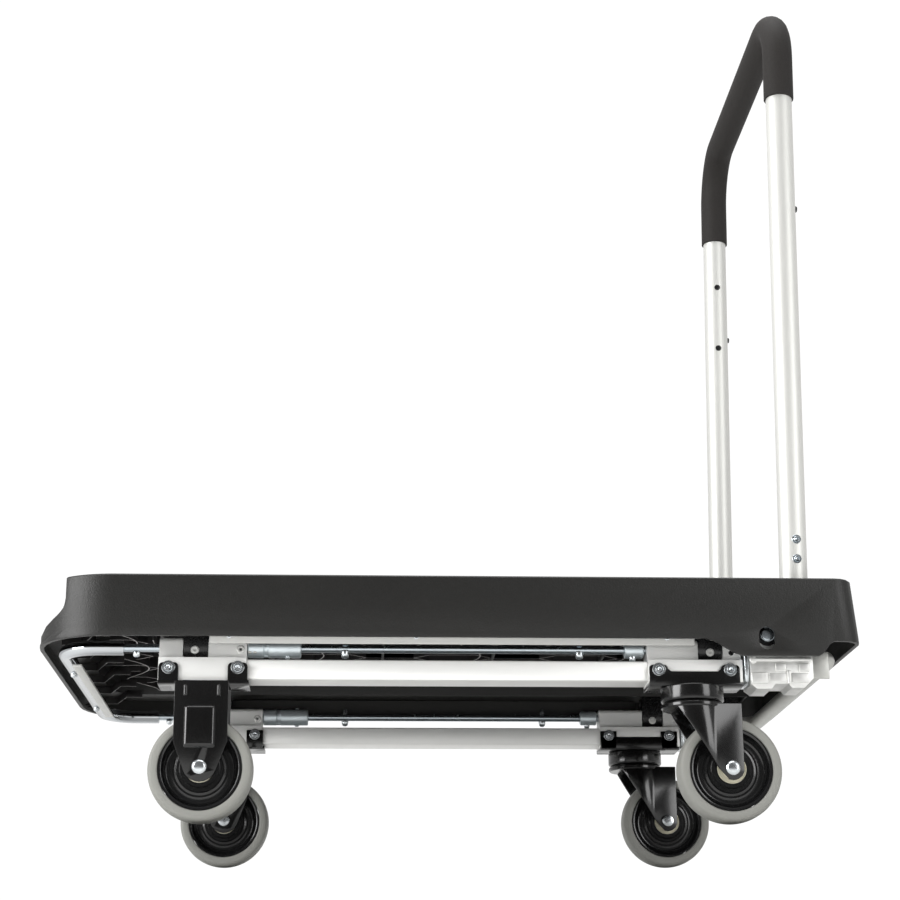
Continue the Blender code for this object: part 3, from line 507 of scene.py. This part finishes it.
def handle_line(low_z, knots=14):
    """The handle's centre line above a height."""
    turn = [radians(90 * i / knots) for i in range(knots + 1)]
    half = [on_handle(low_z, -HANDLE_Y)]
    half += [on_handle(BAR_Z - BEND + BEND * sin(a), -HANDLE_Y + BEND * (1 - cos(a))) for a in turn]
    return half + [(x, -y, z) for x, y, z in reversed(half)]


# %% Tube and grip
tube = bend_tube(handle_line(TUBE_LOW), TUBE_RADIUS, 8)
settle(tube, "handle_tube_drawn", "handle", "aluminium", ("handle_tube",), "tube")
grip = bend_tube(handle_line(GRIP_LOW), GRIP_RADIUS, 8)
round_edges(grip, 0.0012, 60, 3)
settle(grip, "handle_grip_sleeve", "handle", "grip_foam", ("handle_grip",))


# %% [markdown]
# ## Frame tubes and rods
# The tube under the front end is chromed, the one under the handle end is zinc plated. Both are U
# shapes with their legs along the deck's long sides.

# %% Bend the frame tubes
def u_line(bar_x, leg_x, leg_y, z, bend, knots=10):
    """The centre line of a level U tube."""
    towards = 1 if leg_x > bar_x else -1
    turn = [radians(90 * i / knots) for i in range(knots + 1)]
    half = [(leg_x, -leg_y, z)]
    half += [(bar_x + towards * bend * (1 - sin(a)), -leg_y + bend * (1 - cos(a)), z) for a in turn]
    return half + [(x, -y, z) for x, y, z in reversed(half)]


front_line = u_line(bar_x=-0.374, leg_x=-0.314, leg_y=0.195, z=0.1695, bend=0.036)
front = bend_tube(front_line, radius=0.0074)
settle(front, "front_tube_bent", "deck_frame", "chrome", ("front_frame_tube",))
rear_line = u_line(bar_x=0.376, leg_x=0.3535, leg_y=0.196, z=0.163, bend=0.022)
rear = bend_tube(rear_line, radius=0.0084)
settle(rear, "rear_tube_bent", "deck_frame", "zinc", ("rear_frame_tube",), "dull_zinc")
ROD_RADIUS, ROD_TIP, ROD_TAPER = 0.0039, 0.0030, 0.001
for name in SIDES:
    low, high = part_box(f"hinge_rod_{name}")
    half = (high.x - low.x) / 2
    profile = [(ROD_TIP, -half), (ROD_RADIUS, -half + ROD_TAPER)]
    profile += [(ROD_RADIUS, half - ROD_TAPER), (ROD_TIP, half)]
    rod = turn_profile(profile, (low + high) / 2, "X", 24)
    settle(rod, f"hinge_rod_{name}_turned", "deck_frame", "zinc", (f"hinge_rod_{name}",))
print("tubes and rods made")

# %% [markdown]
# ## Swivel forks
# A swivel fork is one pressed sheet. Its front bulges out in a hood under the ball race, and its
# two legs run back to the axle. The sheet is drawn in plan, raised, cut away in front by a slanted
# plane, cut round at the axle by a few small planes, and only then given its thickness. The turned
# crown closes its top.

# %% Press the swivel forks
CASTER_Y = 0.2046
FORK_X = 0.236
FORK_AXLE = Vector((0.2685, 0, 0.050))
HOOD_R = 0.0278
LEG_Y = 0.0213
CROWN = [
    (0.0064, 0.1091), (0.0290, 0.1091), (0.0303, 0.1104), (0.0303, 0.1128), (0.0290, 0.1144),
    (0.0064, 0.1144),
]


def cut(obj, point, normal):
    """Remove what lies on the normal's side of a plane."""
    only(obj)
    bpy.ops.object.mode_set(mode="EDIT")
    bpy.ops.mesh.select_all(action="SELECT")
    bpy.ops.mesh.bisect(plane_co=point, plane_no=normal, clear_outer=True)
    bpy.ops.object.mode_set(mode="OBJECT")


def raise_sheet(points, low, high):
    """A standing sheet along a list of plan points."""
    curve = bpy.data.curves.new("sheet_path", "CURVE")
    curve.dimensions = "3D"
    spline = curve.splines.new("POLY")
    spline.points.add(len(points) - 1)
    for knot, (x, y) in zip(spline.points, points):
        knot.co = (x, y, (low + high) / 2, 1)
    curve.extrude = (high - low) / 2
    sheet = bpy.data.objects.new("sheet", curve)
    bpy.context.scene.collection.objects.link(sheet)
    only(sheet)
    bpy.ops.object.convert(target="MESH")
    return bpy.context.active_object


def join(pieces):
    """Join several objects into the first."""
    bpy.ops.object.select_all(action="DESELECT")
    for piece in pieces:
        piece.select_set(True)
    bpy.context.view_layer.objects.active = pieces[0]
    bpy.ops.object.join()
    return pieces[0]


for name, side in SIDES.items():
    y = side * CASTER_Y
    bulge = [radians(58 + (302 - 58) * i / 28) for i in range(29)]
    plan = [(0.2795, y + LEG_Y), (0.2545, y + LEG_Y)]
    plan += [(FORK_X + HOOD_R * cos(a), y + HOOD_R * sin(a)) for a in bulge]
    plan += [(0.2545, y - LEG_Y), (0.2795, y - LEG_Y)]
    sheet = raise_sheet(plan, 0.036, 0.1120)
    cut(sheet, (0.2055, y, 0.1055), (-0.745, 0, -0.667))
    for angle in (212, 236, 260, 284, 308, 334):
        away = Vector((cos(radians(angle)), 0, sin(radians(angle))))
        cut(sheet, FORK_AXLE + away * 0.0112, away)
    apply_modifier(sheet, "SOLIDIFY", thickness=0.0020, offset=0)
    round_edges(sheet, 0.0005, 50, 2)
    crown = turn_profile(CROWN, (FORK_X, y, 0), "Z", 64, ring=True)
    fork = join([sheet, crown])
    settle(fork, f"swivel_fork_{name}_pressed", f"swivel_{name}", "black_paint", (f"swivel_fork_{name}",))
print("forks pressed")

# %% [markdown]
# ## Screws, rivets and plugs
# Bolt heads and rivets are small turned pieces. A dimple in the middle stands for the driver's
# recess. All heads of one sort on one body are joined into one piece.


# %% Make the heads
def head(place, axis, sign, radius, height, kind="bolt"):
    """A bolt head, rivet or plug that stands on a face at a place."""
    shapes_of = {
        "bolt": ([(1, 0), (1, 0.35), (0.92, 0.68), (0.72, 0.92), (0.46, 1), (0.42, 0.62), (0.12, 0.5)], 28),
        "washer": (
            [(1, 0), (1, 0.2), (0.94, 0.3), (0.66, 0.3), (0.64, 0.7), (0.5, 0.98), (0.3, 1), (0.26, 0.7),
             (0.1, 0.6)],
            28,
        ),
        "rivet": ([(1, 0), (1, 0.3), (0.84, 0.85), (0.56, 1), (0.34, 0.85), (0.3, -0.6), (0.1, -0.7)], 28),
        "plug": ([(1, 0), (1, 0.4), (0.8, 0.85), (0.4, 1), (0.1, 1)], 20),
    }
    profile, steps = shapes_of[kind]
    return turn_profile([(radius * a, height * b) for a, b in profile], place, axis, steps, sign=sign)


# %% Place the heads
BOLT_X = (-0.269, -0.203, 0.2027, 0.2723)
BOLT_Z = 0.1466
BRACKET_RIVET_X = (-0.245, 0.255)
BRACKET_RIVET_Z = 0.1655
RIVET = 0.0042
STRIP_SCREW_X = (-0.212, -0.032, 0.212)
HANGING_SCREW_X = (-0.1005, 0.1280)
FOOT_SCREW_Z = (0.259, 0.279)
PLUG_Z = (0.706, 0.626)
NUB_Z = 0.641


def foot_screw(z, y, direction):
    """A screw in the handle's leg, just above the deck."""
    return head((0.345 + (z - 0.27) * HANDLE_LEAN, y, z), "Y", direction, 0.0046, 0.0024, "washer")


for name, side in SIDES.items():
    beam = f"beam_{name}"
    outer, inner = side * 0.2164, side * 0.1740
    bolts = [head((x, outer, BOLT_Z), "Y", side, 0.0064, 0.0046, "washer") for x in BOLT_X]
    bolts += [head((x, inner, BOLT_Z), "Y", -side, 0.0060, 0.0040, "washer") for x in BOLT_X]
    settle(join(bolts), f"beam_{name}_bolts", beam, "zinc", finish="bolt_zinc")

    spots = [(x, BRACKET_RIVET_Z) for x in BRACKET_RIVET_X]
    rivets = [head((x, side * 0.2068, z), "Y", side, RIVET, 0.0016, "rivet") for x, z in spots]
    rivets += [head((x, side * 0.1832, z), "Y", -side, RIVET, 0.0005, "rivet") for x, z in spots]
    # Painted shade: small black discs sit in the rivets' hollows to darken them.
    hole_shade_discs = [head((x, side * 0.2061, z), "Y", side, 0.0012, 0.0006, "plug") for x, z in spots]
    settle(join(hole_shade_discs), f"rivet_hole_shade_{name}", "deck_frame", "black_plastic")
    settle(join(rivets), f"bracket_rivets_{name}", "deck_frame", "aluminium", finish="dull_aluminium")
    rivets = [head((-0.201, side * 0.2070, 0.1660), "Y", side, RIVET, 0.0012, "rivet")]
    rivets.append(head((-0.201, side * 0.1830, 0.1660), "Y", -side, RIVET, 0.0012, "rivet"))
    settle(join(rivets), f"block_rivets_{name}", beam, "aluminium", finish="dull_aluminium")

    small = [head((x, side * 0.2150, 0.1775), "Y", side, 0.0024, 0.0012) for x in STRIP_SCREW_X]
    small.append(head((0.1800, side * 0.1960, 0.1630), "Z", -1, 0.0034, 0.0052))
    for x in HANGING_SCREW_X:
        small.append(head((x, side * 0.1965, 0.1668), "Z", -1, 0.0040, 0.0068))
        small.append(head((x, side * 0.1965, 0.1725), "Z", 1, 0.0028, 0.0080, "plug"))
    small.append(head((-0.374, side * 0.098, 0.1622), "Z", -1, 0.0034, 0.0032))
    small.append(head((-0.302, side * 0.194, 0.1655), "Z", -1, 0.0036, 0.0046))
    settle(join(small), f"frame_screws_{name}", "deck_frame", "zinc", finish="bolt_zinc")

    screws = [foot_screw(z, side * 0.2118, side) for z in FOOT_SCREW_Z]
    screws += [foot_screw(z, side * 0.1842, -side) for z in FOOT_SCREW_Z]
    settle(join(screws), f"handle_screws_{name}", "handle", "zinc")
    plugs = [head(on_handle(z, side * 0.1842), "Y", -side, 0.0036, 0.0008, "plug") for z in PLUG_Z]
    nub_x = on_handle(NUB_Z, 0)[0] + 0.0137
    plugs.append(head((nub_x, side * HANDLE_Y, NUB_Z), "X", 1, 0.0034, 0.0022, "plug"))
    settle(join(plugs), f"handle_plugs_{name}", "handle", "black_plastic")
print("heads made")


# %% Blocks and pads
def block(x, y, z, edge=0.0006, steps=2):
    """A block between three pairs of limits, with round edges."""
    bpy.ops.object.select_all(action="DESELECT")
    bpy.ops.mesh.primitive_cube_add(size=1, location=[sum(pair) / 2 for pair in (x, y, z)])
    obj = bpy.context.active_object
    obj.dimensions = [abs(pair[1] - pair[0]) for pair in (x, y, z)]
    bpy.ops.object.transform_apply(location=False, rotation=False, scale=True)
    round_edges(obj, edge, 35, steps)
    return obj


def pressed_pad(x, z, face, side, rise, slope):
    """A pad pressed out of a sheet: its top is smaller than its foot by the slope."""
    bpy.ops.object.select_all(action="DESELECT")
    middle = Vector((sum(x) / 2, face, sum(z) / 2))
    bpy.ops.mesh.primitive_cube_add(size=1, location=middle)
    obj = bpy.context.active_object
    obj.dimensions = (x[1] - x[0], 2 * rise, z[1] - z[0])
    bpy.ops.object.transform_apply(location=True, rotation=False, scale=True)
    for vertex in obj.data.vertices:
        if (vertex.co.y - face) * side > 0:
            vertex.co.x += slope if vertex.co.x < middle.x else -slope
            vertex.co.z += slope if vertex.co.z < middle.z else -slope
    round_edges(obj, slope * 0.45, 20, 4)
    return obj


# %% Place the pads and flanges
FORK_FACE = CASTER_Y + 0.0215
FLANGE_X = (-0.269, -0.203, 0.2023, 0.2723)
for name, side in SIDES.items():
    face = side * FORK_FACE
    pads = [pressed_pad((-0.2540, -0.2200), (0.0660, 0.1105), face, side, 0.0026, 0.0042)]
    for x in (-0.2510, -0.2195):
        pads.append(pressed_pad((x - 0.0030, x + 0.0030), (0.1160, 0.1295), face, side, 0.0018, 0.0020))
    settle(join(pads), f"fork_pads_{name}", f"beam_{name}", "black_paint")
    inner = sorted((side * 0.1739, side * 0.1761))
    flanges = [block((x - 0.0095, x + 0.0095), inner, (0.1312, 0.1515), 0.0009) for x in FLANGE_X]
    flanges.append(block((0.1932, 0.2818), inner, (0.1312, 0.1450), 0.0009))
    settle(join(flanges), f"inner_flanges_{name}", f"beam_{name}", "black_paint")
print("pads made")

# %% [markdown]
# ## Lock sleeves, liners and castings
# Each lock sleeve has a spring pin above and below it and two small teeth at its front end. A black
# plastic liner lies against the inside of each side rail. The handle's hinge casting is ribbed: a
# round bead along its top, raised pads below it, and a flat tab behind, where the rear frame tube
# is held. A flat black disc on each rear end block is painted shade for the dark inside of its hole,
# and a thin black ring round each handle pivot is painted shade for the dark slot there. Bars, blocks
# with soft edges and turned pieces make them.

# %% Add the bars, blocks and turned pieces
SLEEVE_Z = 0.1695
CASTING_FACE = 0.2190
CASTING_PADS = (
    ((0.3155, 0.3262), (0.1445, 0.1530), 0.2212, 0.0010),
    ((0.3385, 0.3490), (0.1440, 0.1530), 0.2212, 0.0010),
    ((0.2916, 0.3080), (0.1325, 0.1437), 0.2212, 0.0014),
    ((0.3092, 0.3262), (0.1340, 0.1425), 0.2206, 0.0007),
    ((0.3268, 0.3302), (0.1320, 0.1455), 0.2222, 0.0010),
    ((0.3310, 0.3480), (0.1335, 0.1430), 0.2210, 0.0009),
)
# Profile of the thin black ring of painted shade that lies round each handle pivot.
PIVOT_SHADE_RING = [(0.0104, 0), (0.0104, 0.0003), (0.0047, 0.0003), (0.0047, 0)]


def across(side, low, high):
    """The limits in Y of something that lies between two distances from the middle of the cart."""
    return sorted((side * low, side * high))


for name, side in SIDES.items():
    sleeve = f"lock_sleeve_{name}"
    pins = []
    for up in (-1, 1):
        line = [(-0.181 + 0.033 * i / 4, side * 0.1960, SLEEVE_Z + up * 0.0074) for i in range(5)]
        pins.append(bend_tube(line, 0.0015, 3))
        pins.append(head((-0.1560, side * 0.1960, SLEEVE_Z + up * 0.0080), "Z", up, 0.0028, 0.0026, "plug"))
    pins.append(block((-0.1944, -0.1800), across(side, 0.1960, 0.2026), (0.1712, 0.1764), 0.0008))
    teeth_y = across(side, 0.1990, 0.2030)
    teeth = [block((x, x + 0.0034), teeth_y, (0.1632, 0.1690)) for x in (-0.1940, -0.1892)]
    settle(join(teeth), f"sleeve_teeth_{name}", sleeve, "zinc", finish="dull_zinc")
    # Painted shade: a flat black disc on the rear end block stands for the dark inside of its hole.
    hole = head((0.2755, side * 0.2069, 0.1650), "Y", side, 0.0026, 0.0004, "plug")
    settle(hole, f"block_hole_shade_{name}", f"beam_{name}", "black_plastic")
    settle(join(pins), f"sleeve_pins_{name}", sleeve, "zinc", finish="sleeve_zinc")
    liner = block((-0.2310, 0.2390), across(side, 0.2116, 0.2129), (0.1711, 0.1924), 0.0003, 1)
    settle(liner, f"rail_liner_{name}", "deck_frame", "deck_plastic")

    bead = [(0.2935 + 0.0575 * i / 4, side * 0.2194, 0.1562) for i in range(5)]
    lumps = [bend_tube(bead, 0.0024, 4)]
    lumps.append(head((0.2945, side * 0.2196, 0.1560), "Y", side, 0.0040, 0.0020, "plug"))
    for x, z, reach, edge in CASTING_PADS:
        lumps.append(block(x, across(side, CASTING_FACE, reach), z, edge, 3))
    settle(join(lumps), f"casting_ribs_{name}", "deck_frame", "cast_aluminium")
    tab = block((0.3500, 0.3715), across(side, 0.2048, 0.2072), (0.1400, 0.1670), 0.0010, 3)
    settle(tab, f"tube_tab_{name}", "deck_frame", "zinc", finish="dull_zinc")
    # Painted shade: a thin black ring on the lug face round the handle pivot stands for the dark slot.
    washer = turn_profile(PIVOT_SHADE_RING, (0.309, side * 0.2195, 0.180), "Y", 32, True, side)
    settle(washer, f"pivot_slot_shade_{name}", "deck_frame", "black_plastic")
print("bars, blocks and turned pieces added")

# %% [markdown]
# ## Underside of the deck
# The moulded plate is stiffened by thin ribs. Stepped ones run back from the front wall, and long
# hexagons and wavy ribs follow. Thin standing sheets make them: each is a line in plan, raised and
# then thickened.

# %% Lines for the ribs
RIB_Y = 0.033
RIB_X = 0.017


def rib(points, low, high=0.2318, thick=0.0014):
    """A thin standing rib along a line in plan."""
    sheet = raise_sheet(points, low, high)
    apply_modifier(sheet, "SOLIDIFY", thickness=thick, offset=0)
    round_edges(sheet, 0.0003, 50, 1)
    return sheet


def hexagon_lines(x_low, x_high, run):
    """Zigzag lines that meet their neighbours, so that they enclose long hexagons."""
    lines = []
    for row in range(-4, 5):
        x, level, turn = x_low, row * RIB_Y, 1 if row % 2 else -1
        line = [(x, level)]
        while x < x_high:
            x += run
            line.append((x, level))
            x += RIB_X
            level += turn * RIB_Y / 2
            line.append((x, level))
            turn = -turn
        lines.append([(min(px, x_high), py) for px, py in line])
    return lines


def wave(y):
    """How far a wavy rib stands out, from 0 to 1, at a place across the deck."""
    return abs(sin(pi * (y + 0.032) / 0.132)) ** 1.4


# %% Raise the ribs
ribs = []
for row in range(-2, 4):
    y, start = row * 0.066, -0.383 if abs(row) < 3 else -0.376
    stepped = [(start, y), (-0.3625, y), (-0.3475, y - 0.044), (-0.330, y - 0.044)]
    ribs.append(rib(stepped, 0.1850, 0.1930, 0.0012))
ribs += [rib(line, 0.1975) for line in hexagon_lines(-0.340, -0.296, 0.020)]
ribs += [rib(line, 0.2105) for line in hexagon_lines(-0.285, 0.385, 0.052)]
wave_y = [-0.165 + 0.330 * i / 80 for i in range(81)]
ribs.append(rib([(-0.342 + 0.030 * wave(y), y) for y in wave_y], 0.1950))
for place in (-0.150, 0.020, 0.180):
    ribs.append(rib([(place + 0.026 * wave(y), y) for y in wave_y], 0.2095))
settle(join(ribs), "deck_ribs", "deck_frame", "deck_plastic", finish="rib_plastic")
print("ribs raised")
